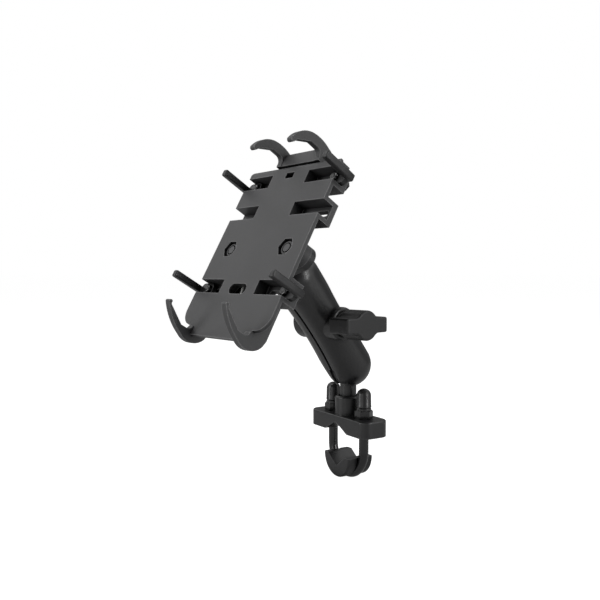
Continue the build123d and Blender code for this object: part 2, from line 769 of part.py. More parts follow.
tongue_front = tunnel_front + slide_gap * 2
with BuildPart() as top_carriage:
    with BuildSketch(cradle.offset(-carriage_front)):
        with Locations((0, carriage_bottom)):
            Rectangle(2 * carriage_half, carriage_h, align=(Align.CENTER, Align.MIN))
    extrude(amount=-carriage_depth)
    fillet(top_carriage.edges().filter_by(Axis.X).group_by(Axis.Z)[-1], carriage_edge)
    for start in (-top_hook_outer, top_hook_inner):
        with BuildSketch(side_plane(start, carriage_bottom, -carriage_front)):
            with BuildLine():
                Polyline((0, -carriage_depth), (0, 0.3), (2.3, 0.3))
                ThreePointArc((2.3, 0.3), (4.7, 1.5), (5.6, 4.0))
                Polyline((5.6, 4.0), (5.5, 9.2), (0.5, 17.7))
                ThreePointArc((0.5, 17.7), (-0.4, 18.3), (-1.4, 18.9))
                ThreePointArc((-1.4, 18.9), (-2.4, 20.6), (-0.6, 21.7))
                ThreePointArc((-0.6, 21.7), (6.6, 17.4), (10.7, 10.1))
                ThreePointArc((10.7, 10.1), (11.3, 3.2), (9.9, -3.7))
                ThreePointArc((9.9, -3.7), (8.8, -6.5), (6.4, -carriage_depth))
                Line((6.4, -carriage_depth), (0, -carriage_depth))
            make_face()
        extrude(amount=top_hook_outer - top_hook_inner)
    # Tongue that runs down the tunnel
    with BuildSketch(cradle.offset(-tongue_front)):
        with Locations((0, tongue_bottom)):
            Rectangle(
                2 * tongue_half,
                carriage_bottom + carriage_h / 2 - tongue_bottom,
                align=(Align.CENTER, Align.MIN),
            )
        with Locations((-pull_spring_x, tongue_bottom), (pull_spring_x, tongue_bottom)):
            Rectangle(2 * spring_loop_r + pull_spring_wire + 1, 5 * spring_loop_r, mode=Mode.SUBTRACT)
    extrude(amount=-tongue_t)
    with BuildSketch(cradle.offset(-tongue_front)):
        with Locations((-pull_spring_x, tongue_bottom), (pull_spring_x, tongue_bottom)):
            Rectangle(4 * spring_loop_r, spring_loop_r, align=(Align.CENTER, Align.MIN))
    extrude(amount=-tongue_t / 4)
save(top_carriage.part, "top_carriage")

loop_mid = tongue_front + tongue_t / 2
spring_top = tongue_bottom - spring_loop_r
spring_low = spring_post_y + spring_loop_r
with BuildPart() as carriage_springs:
    for x in (-pull_spring_x, pull_spring_x):
        start = cradle.offset(-loop_mid).from_local_coords((x, spring_low, 0))
        with BuildLine() as coil_line:
            Helix(
                pitch=(spring_top - spring_low) / pull_spring_turns,
                height=spring_top - spring_low,
                radius=(pull_spring_d - pull_spring_wire) / 2,
                center=start,
                direction=face_up,
            )
        coil = coil_line.edges()[0]
        with BuildSketch(Plane(origin=coil @ 0, z_dir=coil % 0)):
            Circle(pull_spring_wire / 2)
        sweep(path=coil, is_frenet=True)
save(carriage_springs.part, "carriage_springs")


# ---------------------------------------------------------------- side arms

foot_bottom = channel_depth - slide_gap
foot_top = foot_bottom - foot_t


def side_arm(side, row, name):
    """Foot that slides in a channel, with the finger's core standing on it."""
    with BuildPart() as arm:
        with BuildSketch(cradle.offset(-foot_bottom)):
            with Locations((side * (foot_start + foot_end) / 2, row)):
                RectangleRounded(foot_end - foot_start, channel_wid - 4 * slide_gap, foot_corner)
            with Locations((side * (arm_screw_x + finger_inner + finger_t) / 2, row)):
                Rectangle(finger_inner + finger_t - arm_screw_x, finger_wid)
            with Locations((side * arm_screw_x, row)):
                Circle(arm_screw_d / 2 + run_fit, mode=Mode.SUBTRACT)
        extrude(amount=foot_t)
        with BuildSketch(cradle.offset(-foot_top)):
            with Locations((side * finger_mid, row)):
                Circle(finger_core_d / 2)
        extrude(amount=foot_top + finger_tip - 2 * sleeve_end)
    save(arm.part, f"side_arm_{name}")

    with BuildPart() as sleeve:
        with BuildSketch(cradle.offset(-foot_top + run_fit)):
            with Locations((side * finger_mid, row)):
                RectangleRounded(finger_t, finger_wid, sleeve_corner)
        extrude(amount=foot_top + finger_tip - run_fit)
        tip_face = sleeve.faces().sort_by(Axis(cradle.origin, face_out))[-1]
        fillet(tip_face.edges(), sleeve_end)
        with BuildSketch(cradle.offset(-foot_top)):
            with Locations((side * finger_mid, row)):
                Circle(finger_core_d / 2 + run_fit)
        extrude(amount=foot_top + finger_tip - 2 * sleeve_end + run_fit, mode=Mode.SUBTRACT)
    save(sleeve.part, f"finger_sleeve_{name}")

    with BuildPart() as screw:
        with BuildSketch(cradle.offset(-foot_top)):
            with Locations((side * arm_screw_x, row)):
                Circle(arm_screw_head_d / 2)
        extrude(amount=arm_screw_head_h)
        head_face = screw.faces().sort_by(Axis(cradle.origin, face_out))[-1]
        fillet(head_face.edges(), arm_screw_head_h / 2)
        with BuildSketch(cradle.offset(-foot_top)):
            with Locations((side * arm_screw_x, row)):
                Circle(arm_screw_d / 2)
        extrude(amount=-(cradle_depth + slide_gap + arm_nut_h - foot_top))
    save(screw.part, f"arm_screw_{name}")

    with BuildPart() as nut:
        with BuildSketch(cradle.offset(-cradle_depth - slide_gap)):
            with Locations((side * arm_screw_x, row)):
                RegularPolygon(hex_radius(arm_nut_af), 6)
                Circle(arm_screw_d / 2 + run_fit, mode=Mode.SUBTRACT)
        extrude(amount=-arm_nut_h)
    save(nut.part, f"arm_nut_{name}")


for row_name, row in (("upper", row_upper), ("lower", row_lower)):
    side_arm(-1, row, f"{row_name}_left")
    side_arm(1, row, f"{row_name}_right")
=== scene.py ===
# %% [markdown]
# # A phone holder on a ball-jointed arm
#
# The real object is a small black assembly: a moulded tray with hooks and rubber fingers, a
# powder-coated arm that clamps two rubber-covered balls, and a cast base on a U-bolt.
# The solid model already has every part in its right place. This lesson gives the parts the
# soft edges, threads and surface finishes that plain solids don't have.

# %% The frame
import json
import math

import bmesh
import bpy
from mathutils import Matrix, Vector

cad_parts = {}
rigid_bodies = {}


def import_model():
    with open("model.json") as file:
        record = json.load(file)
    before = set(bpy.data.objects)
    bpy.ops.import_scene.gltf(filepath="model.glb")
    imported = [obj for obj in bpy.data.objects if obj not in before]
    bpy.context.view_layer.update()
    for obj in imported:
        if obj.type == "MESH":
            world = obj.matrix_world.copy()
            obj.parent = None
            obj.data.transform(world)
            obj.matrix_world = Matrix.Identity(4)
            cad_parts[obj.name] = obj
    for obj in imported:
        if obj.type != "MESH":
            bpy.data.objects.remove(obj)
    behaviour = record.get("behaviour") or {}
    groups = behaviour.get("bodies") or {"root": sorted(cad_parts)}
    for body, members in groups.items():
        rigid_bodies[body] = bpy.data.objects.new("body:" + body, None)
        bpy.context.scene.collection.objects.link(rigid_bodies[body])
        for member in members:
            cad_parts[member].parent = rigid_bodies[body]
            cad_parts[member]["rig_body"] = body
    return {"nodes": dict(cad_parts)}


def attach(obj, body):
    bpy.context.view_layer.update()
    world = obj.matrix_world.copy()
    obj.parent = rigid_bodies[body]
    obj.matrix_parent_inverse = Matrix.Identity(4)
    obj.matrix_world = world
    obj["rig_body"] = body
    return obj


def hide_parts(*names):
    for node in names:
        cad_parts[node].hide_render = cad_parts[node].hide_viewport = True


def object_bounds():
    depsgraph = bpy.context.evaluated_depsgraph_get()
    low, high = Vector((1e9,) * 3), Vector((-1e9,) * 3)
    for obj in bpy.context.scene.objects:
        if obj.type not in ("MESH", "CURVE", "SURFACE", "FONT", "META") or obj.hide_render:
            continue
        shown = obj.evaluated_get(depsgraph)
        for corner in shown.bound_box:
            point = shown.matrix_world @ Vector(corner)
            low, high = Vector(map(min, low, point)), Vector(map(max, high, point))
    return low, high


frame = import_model()
cad_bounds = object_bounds()
MM = 0.001

# %% [markdown]
# ## Two planes to build on
#
# Most pieces sit on the cradle, which leans back, or on the arm, which leans forward. A
# matrix for each lets a piece be drawn upright about its own middle and then put in place.
# The cradle's matrix has x across, y up its face and z out towards the phone.

# %% Planes
TILT = math.radians(30)
LEAN = math.radians(38.8)
BALL_PITCH = 67.7
FACE_FROM_BALL = 33.0
LOWER_BALL = Vector((0, 0, 40.7))
ALONG_ARM = Vector((0, -math.sin(LEAN), math.cos(LEAN)))
UPPER_BALL = LOWER_BALL + ALONG_ARM * BALL_PITCH
FACE_OUT = Vector((0, -math.cos(TILT), math.sin(TILT)))
FACE_MIDDLE = UPPER_BALL + FACE_OUT * FACE_FROM_BALL

# Heights of the two rows of side arms on the face, and the sign of x on each side
ROWS = {"upper": 45.1, "lower": -24.1}
SIDES = {"left": -1, "right": 1}
CORNERS = [f"{row}_{side}" for row in ROWS for side in SIDES]


def plane(origin, x_axis, z_axis):
    """Matrix that stands a piece drawn in millimetres on a plane of the object, in metres."""
    x = Vector(x_axis).normalized()
    z = Vector(z_axis).normalized()
    y = z.cross(x)
    turn = Matrix((x, y, z)).transposed().to_4x4()
    return Matrix.Translation(Vector(origin) * MM) @ turn @ Matrix.Scale(MM, 4)


CRADLE = plane(FACE_MIDDLE, (1, 0, 0), FACE_OUT)
BOLT_MIDDLE = (LOWER_BALL + UPPER_BALL) / 2
print("face middle, mm:", [round(v, 2) for v in FACE_MIDDLE])

# %% [markdown]
# ## Colours and node trees
#
# Colours of paint and plastic are given as sRGB, while Blender works in linear light, so one
# function turns a hex value to linear. One more adds a node, sets it and links it, which
# keeps each material short enough to read.

# %% Helpers for materials
def linear(hex_colour):
    """Linear RGBA of an sRGB hex colour."""
    parts = [int(hex_colour[i:i + 2], 16) / 255 for i in (1, 3, 5)]
    return [c / 12.92 if c <= 0.04045 else ((c + 0.055) / 1.055) ** 2.4 for c in parts] + [1.0]


def add(tree, kind, inputs=None, **settings):
    """Add a node, set its properties, then fill or link its inputs by name or number."""
    made = tree.nodes.new(kind)
    for name, value in settings.items():
        setattr(made, name, value)
    for socket, value in (inputs or {}).items():
        if isinstance(value, bpy.types.NodeSocket):
            tree.links.new(value, made.inputs[socket])
        else:
            made.inputs[socket].default_value = value
    return made


def new_material(name):
    """Empty material with its output node and the object's own coordinates in metres."""
    material = bpy.data.materials.new(name)
    material.use_nodes = True
    material.node_tree.nodes.clear()
    tree = material.node_tree
    out = add(tree, "ShaderNodeOutputMaterial")
    place = add(tree, "ShaderNodeTexCoord").outputs["Object"]
    return material, tree, out, place


# %% [markdown]
# ## Moulded nylon
#
# The tray, carriage, side arms, saddle and knob are glass-filled nylon, injection moulded in
# a steel tool with a fine spark-eroded texture. That gives a dull grey-black with a soft,
# wide sheen and no clear reflections. Real grain is about 0.1 mm, too fine to show here,
# so it is drawn at about 0.5 mm. A slow cloud over 25 mm stands for the uneven flow of the
# glass fibres. Ambient occlusion paints shade into the hollows, darkening the colour and
# dimming the sheen where little light gets in. Taken inside the solid, it finds convex edges
# instead, and a painted highlight makes them a little lighter.

# %% Nylon
GRAIN_MM = 0.5
FLOW_MM = 25


def nylon(name, dark, light, highlight_colour, roughness):
    """Glass-filled nylon: tool texture, slow tone changes, painted shade and edge highlights."""
    material, tree, out, place = new_material(name)
    flow = add(tree, "ShaderNodeTexNoise",
               {"Vector": place, "Scale": 1 / (FLOW_MM * MM), "Detail": 3.0, "Roughness": 0.55})
    grain = add(tree, "ShaderNodeTexNoise",
                {"Vector": place, "Scale": 1 / (GRAIN_MM * MM), "Detail": 2.0, "Roughness": 0.6})
    tone = add(tree, "ShaderNodeValToRGB", {"Fac": flow.outputs["Fac"]})
    tone.color_ramp.elements[0].position = 0.35
    tone.color_ramp.elements[1].position = 0.65
    tone.color_ramp.elements[0].color = linear(dark)
    tone.color_ramp.elements[1].color = linear(light)
    speck = add(tree, "ShaderNodeMapRange",
                {"Value": grain.outputs["Fac"], "From Min": 0.3, "From Max": 0.7, "To Min": 0.93,
                 "To Max": 1.07})
    grained = add(tree, "ShaderNodeMix", {0: 1.0, 6: tone.outputs["Color"], 7: speck.outputs[0]},
                  data_type="RGBA", blend_type="MULTIPLY")
    # Painted shade: ambient occlusion darkens the colour and dims the sheen in the hollows.
    painted_shade_ao = add(tree, "ShaderNodeAmbientOcclusion", {"Distance": 7 * MM}, samples=6)
    shade = add(tree, "ShaderNodeMapRange",
                {"Value": painted_shade_ao.outputs["AO"], "From Min": 0.3, "From Max": 0.95, "To Min": 0.15})
    painted_shade_gloss = add(tree, "ShaderNodeMath", {0: shade.outputs[0], 1: 0.5}, operation="MULTIPLY")
    closed = add(tree, "ShaderNodeMix", {0: 1.0, 6: grained.outputs[2], 7: shade.outputs[0]},
                 data_type="RGBA", blend_type="MULTIPLY")
    # Painted highlight: convex edges, found by occlusion inside the solid, get a lighter colour.
    rim = add(tree, "ShaderNodeAmbientOcclusion", {"Distance": 0.8 * MM}, inside=True,
              samples=8)
    painted_highlight_mask = add(tree, "ShaderNodeMapRange",
               {"Value": rim.outputs["AO"], "From Min": 0.9, "From Max": 0.5, "To Max": 0.8})
    colour = add(tree, "ShaderNodeMix",
                 {0: painted_highlight_mask.outputs[0], 6: closed.outputs[2], 7: linear(highlight_colour)}, data_type="RGBA")
    rough = add(tree, "ShaderNodeMapRange",
                {"Value": grain.outputs["Fac"], "From Min": 0.3, "From Max": 0.7,
                 "To Min": roughness - 0.05, "To Max": roughness + 0.05})
    bump = add(tree, "ShaderNodeBump",
               {"Height": grain.outputs["Fac"], "Strength": 0.25, "Distance": 0.04 * MM})
    shader = add(tree, "ShaderNodeBsdfPrincipled",
                 {"Base Color": colour.outputs[2], "Roughness": rough.outputs[0],
                  "Normal": bump.outputs["Normal"], "IOR": 1.53,
                  "Specular IOR Level": painted_shade_gloss.outputs[0]})
    tree.links.new(shader.outputs["BSDF"], out.inputs["Surface"])
    return material


# The fourth colour of each is the painted highlight on convex edges.
TRAY_NYLON = nylon("moulded_glass_filled_nylon", "#333334", "#373738", "#6a6a6b", 0.5)
DARK_NYLON = nylon("moulded_black_nylon", "#1b1b1c", "#202021", "#4a4a4b", 0.32)
KNOB_NYLON = nylon("moulded_nylon_of_the_knob", "#131314", "#171718", "#4e4e4f", 0.46)
print("nylon ready")

# %% [markdown]
# ## Powder coat
#
# The arm, the base and the adapter are cast aluminium with a baked black powder coat. The
# powder melts into a skin with a slight orange peel, dips about 1 mm apart and only a few
# hundredths deep. Highlights are broad, and their edges waver a little. Convex edges get a
# painted highlight that makes them lighter, and painted shade dims the sheen in the hollows.

# %% Powder coat
def powder_coat(name, colour, highlight_colour, roughness):
    """Baked powder over cast aluminium: dark skin with orange peel, painted highlights and shade.
    """
    material, tree, out, place = new_material(name)
    peel = add(tree, "ShaderNodeTexNoise",
               {"Vector": place, "Scale": 1 / (1.1 * MM), "Detail": 1.5, "Roughness": 0.45})
    fine = add(tree, "ShaderNodeTexNoise",
               {"Vector": place, "Scale": 1 / (0.4 * MM), "Detail": 1.0})
    height = add(tree, "ShaderNodeMix",
                 {0: 0.3, 2: peel.outputs["Fac"], 3: fine.outputs["Fac"]}, data_type="FLOAT")
    rough = add(tree, "ShaderNodeMapRange",
                {"Value": peel.outputs["Fac"], "From Min": 0.3, "From Max": 0.7,
                 "To Min": roughness - 0.04, "To Max": roughness + 0.04})
    bump = add(tree, "ShaderNodeBump",
               {"Height": height.outputs[0], "Strength": 0.22, "Distance": 0.05 * MM})
    # Painted shade: ambient occlusion dims the sheen in the hollows.
    painted_shade_ao = add(tree, "ShaderNodeAmbientOcclusion", {"Distance": 4 * MM}, samples=6)
    painted_shade_gloss = add(tree, "ShaderNodeMapRange",
                {"Value": painted_shade_ao.outputs["AO"], "From Min": 0.3, "From Max": 0.9, "To Min": 0.1,
                 "To Max": 0.55})
    # Painted highlight: convex edges, found by occlusion inside the solid, get a lighter colour.
    rim = add(tree, "ShaderNodeAmbientOcclusion", {"Distance": 0.9 * MM}, inside=True,
              samples=8)
    painted_highlight_mask = add(tree, "ShaderNodeMapRange",
               {"Value": rim.outputs["AO"], "From Min": 0.92, "From Max": 0.55, "To Max": 0.9})
    coat_and_highlight = add(tree, "ShaderNodeMix",
               {0: painted_highlight_mask.outputs[0], 6: linear(colour), 7: linear(highlight_colour)}, data_type="RGBA")
    shader = add(tree, "ShaderNodeBsdfPrincipled",
                 {"Base Color": coat_and_highlight.outputs[2], "Roughness": rough.outputs[0],
                  "Normal": bump.outputs["Normal"], "IOR": 1.5,
                  "Specular IOR Level": painted_shade_gloss.outputs[0]})
    tree.links.new(shader.outputs["BSDF"], out.inputs["Surface"])
    return material


# The second colour is the painted highlight on convex edges.
ARM_COAT = powder_coat("satin_black_powder_coat", "#1a1a1b", "#48484a", 0.33)
print("powder coat ready")

# %% [markdown]
# ## Rubber and vinyl
#
# The balls and finger sleeves are moulded nitrile rubber, matte and faintly mottled. The
# thread caps are dipped vinyl, smoother, so they show clearer streaks of light. Both have
# no metal in them and differ in roughness and in how coarse their mottling is.

# %% Rubber and vinyl
def rubber(name, colour, roughness, mottle_mm, relief_mm):
    """Black elastomer: even colour, mottled roughness and a shallow skin relief."""
    material, tree, out, place = new_material(name)
    mottle = add(tree, "ShaderNodeTexNoise",
                 {"Vector": place, "Scale": 1 / (mottle_mm * MM), "Detail": 3.0})
    rough = add(tree, "ShaderNodeMapRange",
                {"Value": mottle.outputs["Fac"], "From Min": 0.3, "From Max": 0.7,
                 "To Min": roughness - 0.06, "To Max": roughness + 0.06})
    bump = add(tree, "ShaderNodeBump",
               {"Height": mottle.outputs["Fac"], "Strength": 0.3, "Distance": relief_mm * MM})
    shader = add(tree, "ShaderNodeBsdfPrincipled",
                 {"Base Color": linear(colour), "Roughness": rough.outputs[0],
                  "Normal": bump.outputs["Normal"], "IOR": 1.52})
    tree.links.new(shader.outputs["BSDF"], out.inputs["Surface"])
    return material


NITRILE = rubber("moulded_nitrile_rubber", "#1b1b1c", 0.42, 0.6, 0.02)
VINYL = rubber("dipped_black_vinyl", "#1c1c1d", 0.34, 2.0, 0.02)
print("rubber and vinyl ready")

# %% [markdown]
# ## Metals
#
# The clamp bolt, springs, washers and cover screws are stainless steel, cut and tumbled, so
# fine scratches run one way and blur the highlight. The U-bolt, its nuts and the side arms'
# screws are zinc plated and then blackened: a thin dark glass over steel, glossier than any
# plastic here. The adapter's screws are oiled dark steel, and the knob's insert is brass.

# %% Metals
def metal(name, colour, roughness, metallic, grain=(1, 1, 12), index=1.5, relief_mm=0.01):
    """Worked metal; the grain's numbers stretch the scratches along an axis."""
    material, tree, out, place = new_material(name)
    lay = add(tree, "ShaderNodeMapping", {"Vector": place, "Scale": grain})
    scratch = add(tree, "ShaderNodeTexNoise",
                  {"Vector": lay.outputs["Vector"], "Scale": 1 / (1.5 * MM), "Detail": 3.0})
    rough = add(tree, "ShaderNodeMapRange",
                {"Value": scratch.outputs["Fac"], "From Min": 0.3, "From Max": 0.7,
                 "To Min": roughness - 0.05, "To Max": roughness + 0.07})
    bump = add(tree, "ShaderNodeBump",
               {"Height": scratch.outputs["Fac"], "Strength": 0.15, "Distance": relief_mm * MM})
    shader = add(tree, "ShaderNodeBsdfPrincipled",
                 {"Base Color": linear(colour), "Metallic": metallic, "IOR": index,
                  "Roughness": rough.outputs[0], "Normal": bump.outputs["Normal"]})
    tree.links.new(shader.outputs["BSDF"], out.inputs["Surface"])
    return material


STAINLESS = metal("tumbled_stainless_steel", "#b4b4b2", 0.3, 1.0)
BLACK_ZINC = metal("blackened_zinc_plate", "#0f0f10", 0.16, 0.0, (1, 1, 1), 1.6, 0.001)
DARK_STEEL = metal("oiled_dark_steel", "#5a5a5b", 0.34, 1.0, (1, 1, 1))
BRASS = metal("machined_brass", "#c9a25c", 0.3, 1.0)
print("metals ready")

# %% [markdown]
# ## Soft edges on moulded and cast parts
#
# No moulded or cast edge is sharp: the tool leaves a radius of a few tenths of a millimetre,
# and each one catches a thin line of light. A merged copy of the solid gets a Bevel on its
# sharp edges, then Weighted Normal keeps its broad faces flat to the eye. The copy then
# stands for the plain node.

# %% Softened copies
SHARP = math.radians(30)


def set_out(mesh, name, body, material, replaced=()):
    """Show a mesh as a piece on its body and hide the nodes it stands for."""
    piece = bpy.data.objects.new(name, mesh)
    bpy.context.collection.objects.link(piece)
    mesh.materials.clear()
    mesh.materials.append(material)
    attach(piece, body)
    if replaced:
        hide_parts(*replaced)
    return piece


def frozen(draft):
    """Plain mesh of an object with its modifiers applied; the object is removed."""
    graph = bpy.context.evaluated_depsgraph_get()
    mesh = bpy.data.meshes.new_from_object(draft.evaluated_get(graph))
    bpy.data.objects.remove(draft)
    return mesh


def softened(node, name, slot, material, radius_mm, segments):
    """Copy of a CAD node with its sharp edges rounded to a radius in millimetres."""
    source = frame["nodes"][node]
    work = bmesh.new()
    work.from_mesh(source.data)
    bmesh.ops.remove_doubles(work, verts=work.verts, dist=0.002 * MM)
    bmesh.ops.dissolve_limit(work, angle_limit=math.radians(0.3), verts=work.verts,
                             edges=work.edges)
    mesh = bpy.data.meshes.new(name)
    work.to_mesh(mesh)
    work.free()
    mesh.shade_smooth()
    draft = bpy.data.objects.new(name + "_draft", mesh)
    bpy.context.collection.objects.link(draft)
    bevel = draft.modifiers.new("edges", "BEVEL")
    bevel.width = radius_mm * MM
    bevel.segments = segments
    bevel.limit_method = "ANGLE"
    bevel.angle_limit = SHARP
    bevel.miter_outer = "MITER_ARC"
    weights = draft.modifiers.new("flat faces", "WEIGHTED_NORMAL")
    weights.keep_sharp = True
    made = frozen(draft)
    made.name = name
    return set_out(made, name, source["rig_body"], material, [node])


# Node, piece, slot, material, radius of its edges in millimetres, segments round the radius
MOULDED = [
    ("cradle_tray", "tray_moulding", "composite", TRAY_NYLON, 0.55, 3),
    ("top_carriage", "carriage_moulding", "composite", TRAY_NYLON, 0.45, 3),
    ("clamp_base", "base_casting", "powder_coat", ARM_COAT, 0.9, 4),
    ("clamp_saddle", "saddle_moulding", "composite", DARK_NYLON, 0.7, 3),
    ("arm_half_bolt_side", "arm_shell_bolt_side", "powder_coat", ARM_COAT, 0.4, 2),
    ("arm_half_knob_side", "arm_shell_knob_side", "powder_coat", ARM_COAT, 0.4, 2),
    ("wing_knob", "knob_moulding", "composite", KNOB_NYLON, 0.8, 4),
    ("ball_adapter", "adapter_casting", "powder_coat", ARM_COAT, 0.35, 2),
    *((f"side_arm_{corner}", f"foot_{corner}", "composite", DARK_NYLON, 0.7, 3)
      for corner in CORNERS),
    ("cradle_back_cover", "back_cover_moulding", "composite", TRAY_NYLON, 0.3, 2),
]
moulded = [softened(*row) for row in MOULDED]
print("softened parts:", len(moulded), "polygons:", sum(len(p.data.polygons) for p in moulded))

# %% [markdown]
# ## Plain metal and rubber nodes
#
# The remaining solids only need their finish. Some of them, such as nuts and springs, are
# stood for by finer pieces further down, and get their finish here all the same.

# %% Finishes on the solids
FINISHES = {
    "rubber": (NITRILE, ["lower_ball_cover", "upper_ball_cover"]
               + [f"finger_sleeve_{corner}" for corner in CORNERS]),
    "vinyl": (VINYL, ["left_thread_cap", "right_thread_cap"]),
    "black": (BLACK_ZINC, ["u_bolt", "left_lock_nut", "right_lock_nut"]
              + [f"arm_{kind}_{corner}" for kind in ("screw", "nut") for corner in CORNERS]),
    "coat": (ARM_COAT, ["lower_ball_stud", "upper_ball_stud"]),
    "brass": (BRASS, ["knob_insert"]),
    "dark steel": (DARK_STEEL, ["adapter_screws", "adapter_lock_nuts"]),
    "steel": (STAINLESS, ["clamp_bolt", "clamp_spring", "knob_washer", "cover_screws",
                          "carriage_springs"]),
}
for material, names in FINISHES.values():
    for name in names:
        data = frame["nodes"][name].data
        data.materials.clear()
        data.materials.append(material)
        data.shade_smooth()
        data.set_sharp_from_angle(angle=SHARP)
print("finished solids:", sum(len(names) for material, names in FINISHES.values()))

# %% [markdown]
# ## Turned and hexagonal hardware
#
# Nuts, caps and screw heads are all stacks of rings about one axis. A ring is a circle, or
# a circle trimmed by a hexagon, so one helper draws a nut with its corner chamfers, a
# socket in a screw head, and a smooth cap. A second helper carries an outline along a path,
# for the U-bolt's bend and the rubber sleeves.

# %% Rings and sweeps
WIDE = 99.0  # a flat so far out that the ring stays a circle


def build_mesh(work, name, body, material, replaced=(), sharp=32):
    """Turn bmesh work into a shaded piece on a body."""
    bmesh.ops.remove_doubles(work, verts=work.verts, dist=0.001 * MM)
    bmesh.ops.recalc_face_normals(work, faces=work.faces)
    mesh = bpy.data.meshes.new(name)
    work.to_mesh(mesh)
    work.free()
    mesh.shade_smooth()
    mesh.set_sharp_from_angle(angle=math.radians(sharp))
    return set_out(mesh, name, body, material, replaced)


def rings(work, place, stack, closed=False, sides=48):
    """Skin a stack of (height, flat, round) rings: a circle of radius round cut to flats."""
    loops = []
    for height, flat, limit in stack:
        loop = []
        for i in range(sides):
            angle = math.tau * i / sides
            off = (angle + math.pi / 6) % (math.pi / 3) - math.pi / 6
            radius = min(flat / math.cos(off), limit)
            spot = Vector((radius * math.cos(angle), radius * math.sin(angle), height))
            loop.append(work.verts.new(place @ spot))
        loops.append(loop)
    pairs = list(zip(loops, loops[1:]))
    if closed:
        pairs.append((loops[-1], loops[0]))
    else:
        work.faces.new(loops[0][::-1])
        work.faces.new(loops[-1])
    for low, high in pairs:
        for i in range(sides):
            work.faces.new((low[i - 1], low[i], high[i], high[i - 1]))


def swept(work, path, outline, scales):
    """Skin an outline along a path of (middle, side, up) frames, with a scale for each."""
    loops = []
    for (middle, side, up), scale in zip(path, scales):
        loops.append([work.verts.new(middle + side * a * scale + up * b * scale)
                      for a, b in outline])
    count = len(outline)
    for low, high in zip(loops, loops[1:]):
        for i in range(count):
            work.faces.new((low[i - 1], low[i], high[i], high[i - 1]))
    work.faces.new(loops[0][::-1])
    work.faces.new(loops[-1])


def shift(x, y, z, turn=0.0):
    """Move to a point in millimetres, after a turn about z in degrees."""
    return Matrix.Translation((x, y, z)) @ Matrix.Rotation(math.radians(turn), 4, "Z")


# %% [markdown]
# ## Lock nuts and thread caps on the U-bolt
#
# A lock nut is a chamfered hexagon with a round collar that holds a nylon ring. The thread
# ends above it are covered by soft dipped caps, a little narrower at the top.

# %% U-bolt nuts and caps
CLAMP_TURN = -9
UPRIGHT = Matrix.Rotation(math.radians(CLAMP_TURN), 4, "Z") @ Matrix.Scale(MM, 4)
LEG_X = 15.75
BASE_TOP = 9.9
NUT_FLAT = 4.765
NUT_CORNER = 5.5
NUT_BORE = 2.96
HEX_TOP = 14.2
NUT_TOP = 16.4
NUT_SHARP = 9
CAP_R = 4.5
CAP_FLOOR = 26.4
CAP_TOP = 27.6
CAP_START = NUT_TOP + 0.03
DOME_H = 4.0
DOME_ANGLES = (0, 15, 30, 45, 60, 72, 82, 89)
for side, x in (("left", -LEG_X), ("right", LEG_X)):
    stand = UPRIGHT @ shift(x, 0, 0, 30)
    work = bmesh.new()
    rings(work, stand, [(BASE_TOP, NUT_FLAT, 4.9), (BASE_TOP + 0.45, NUT_FLAT, NUT_CORNER),
                        (HEX_TOP, NUT_FLAT, NUT_CORNER), (14.75, NUT_FLAT, 4.8),
                        (14.8, WIDE, 4.45), (15.8, WIDE, 4.4), (16.25, WIDE, 4.1),
                        (NUT_TOP, WIDE, 3.6), (NUT_TOP, WIDE, NUT_BORE),
                        (BASE_TOP, WIDE, NUT_BORE)], closed=True)
    build_mesh(work, f"{side}_nut_detail", f"{side}_nut", BLACK_ZINC,
               [f"{side}_lock_nut"], NUT_SHARP)
    work = bmesh.new()
    dome = [(CAP_TOP - DOME_H * (1 - math.sin(t)), WIDE, 0.15 + 4.15 * math.cos(t))
            for t in [math.radians(a) for a in DOME_ANGLES]]
    rings(work, stand, [(CAP_FLOOR, WIDE, 0.3), (CAP_FLOOR, WIDE, NUT_BORE),
                        (CAP_START, WIDE, NUT_BORE), (CAP_START, WIDE, 4.3),
                        (NUT_TOP + 0.2, WIDE, CAP_R), (NUT_TOP + 1.0, WIDE, CAP_R),
                        (NUT_TOP + 1.25, WIDE, 4.4)] + dome)
    build_mesh(work, f"{side}_cap_detail", f"{side}_nut", VINYL, [f"{side}_thread_cap"])
print("nuts and caps ready")

# %% [markdown]
# ## Screw threads
#
# A thread is a rule: going once round the rod, the crest climbs by one pitch. The tree bends
# a fine cylinder by that rule. Each point's angle and height give its place on the thread,
# and a ping-pong of that place moves it in or out.

# %% Thread tree
def new_tree(name, sizes):
    """Geometry tree with named float inputs; returns the tree and its input sockets."""
    tree = bpy.data.node_groups.new(name, "GeometryNodeTree")
    tree.interface.new_socket("Geometry", in_out="OUTPUT", socket_type="NodeSocketGeometry")
    for size in sizes:
        tree.interface.new_socket(size, in_out="INPUT", socket_type="NodeSocketFloat")
    return tree, add(tree, "NodeGroupInput").outputs


def close_tree(tree, geometry, material):
    """End a tree as every one here ends: real geometry with its material set."""
    real = add(tree, "GeometryNodeRealizeInstances", {"Geometry": geometry})
    painted = add(tree, "GeometryNodeSetMaterial",
                  {"Geometry": real.outputs["Geometry"], "Material": material})
    add(tree, "NodeGroupOutput", {0: painted.outputs["Geometry"]})


